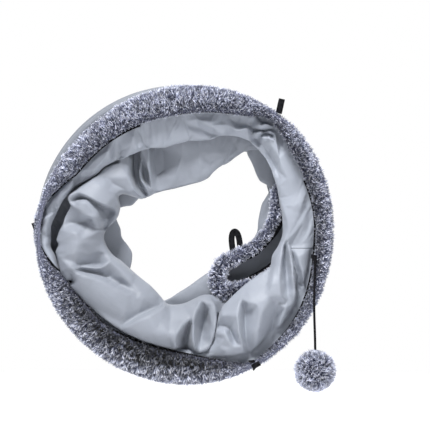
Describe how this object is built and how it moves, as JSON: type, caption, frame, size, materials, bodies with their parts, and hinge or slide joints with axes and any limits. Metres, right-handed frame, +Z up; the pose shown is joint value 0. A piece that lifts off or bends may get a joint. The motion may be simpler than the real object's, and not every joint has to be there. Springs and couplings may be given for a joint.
{
  "type": "collapsible cat tunnel",
  "caption": "Collapsible fabric pet tunnel gathered to a ring of folds, with plush rims, a plush peek hole and a pompom on a cord.",
  "frame": {"origin": "on the first hoop's wire at the upper right, where a hand holds the gathered stack", "axes": "+Y along the tunnel from its first opening to its last, +Z up as it hangs from the hand, +X to the right when looking into the first opening"},
  "size_m": [0.3658, 0.1408, 0.3686],
  "materials": {
    "grey_cloth": "satin woven",
    "grey_plush": "long pile",
    "black_ribbon": "matt woven",
    "spring_steel": "bare drawn wire"
  },
  "bodies": {
    "front_ring": {"front_plush_sleeve": "grey_plush", "front_hoop_wire": "spring_steel", "front_hoop_ferrule": "spring_steel", "front_binding_tape": "black_ribbon", "front_loop_top": "black_ribbon", "front_loop_left": "black_ribbon", "front_loop_bottom": "black_ribbon", "cord_tab": "black_ribbon", "bay_1_fabric": "grey_cloth"},
    "hoop_2": {"hoop_2_casing": "grey_cloth", "hoop_2_wire": "spring_steel", "hoop_2_ferrule": "spring_steel", "bay_2_fabric": "grey_cloth"},
    "hoop_3": {"hoop_3_casing": "grey_cloth", "hoop_3_wire": "spring_steel", "hoop_3_ferrule": "spring_steel", "bay_3_fabric": "grey_cloth", "peek_plush_trim": "grey_plush", "peek_binding_tape": "black_ribbon", "peek_loop": "black_ribbon"},
    "hoop_4": {"hoop_4_casing": "grey_cloth", "hoop_4_wire": "spring_steel", "hoop_4_ferrule": "spring_steel", "bay_4_fabric": "grey_cloth"},
    "rear_ring": {"rear_plush_sleeve": "grey_plush", "rear_hoop_wire": "spring_steel", "rear_hoop_ferrule": "spring_steel", "rear_binding_tape": "black_ribbon", "rear_loop_top": "black_ribbon", "rear_loop_left": "black_ribbon", "rear_loop_bottom": "black_ribbon"},
    "pompom_knot": {"cord_knot": "black_ribbon"},
    "pompom_hang": {"pompom_cord": "black_ribbon", "pompom": "grey_plush"}
  },
  "joints": [
    {"name": "bay_1_extend", "type": "slide", "parent": "front_ring", "child": "hoop_2", "axis": [0, 1, 0], "range_m": [0, 0.21], "deforming": ["bay_1_fabric"]},
    {"name": "bay_2_extend", "type": "slide", "parent": "hoop_2", "child": "hoop_3", "axis": [0, 1, 0], "range_m": [0, 0.21], "deforming": ["bay_2_fabric"]},
    {"name": "bay_3_extend", "type": "slide", "parent": "hoop_3", "child": "hoop_4", "axis": [0, 1, 0], "range_m": [0, 0.21], "deforming": ["bay_3_fabric"]},
    {"name": "bay_4_extend", "type": "slide", "parent": "hoop_4", "child": "rear_ring", "axis": [0, 1, 0], "range_m": [0, 0.21], "deforming": ["bay_4_fabric"]},
    {"name": "pompom_sway", "type": "hinge", "parent": "front_ring", "child": "pompom_knot", "pos_m": [0.0338, -0.0108, -0.1596], "axis": [0, 1, 0], "range_deg": [-80, 12]},
    {"name": "pompom_nod", "type": "hinge", "parent": "pompom_knot", "child": "pompom_hang", "pos_m": [0.0338, -0.0108, -0.1596], "axis": [1, 0, 0], "range_deg": [-85, 3]}
  ],
  "couplings": [
    {"joint": "bay_2_extend", "follows": "bay_1_extend", "ratio": 1},
    {"joint": "bay_3_extend", "follows": "bay_1_extend", "ratio": 1},
    {"joint": "bay_4_extend", "follows": "bay_1_extend", "ratio": 1}
  ]
}
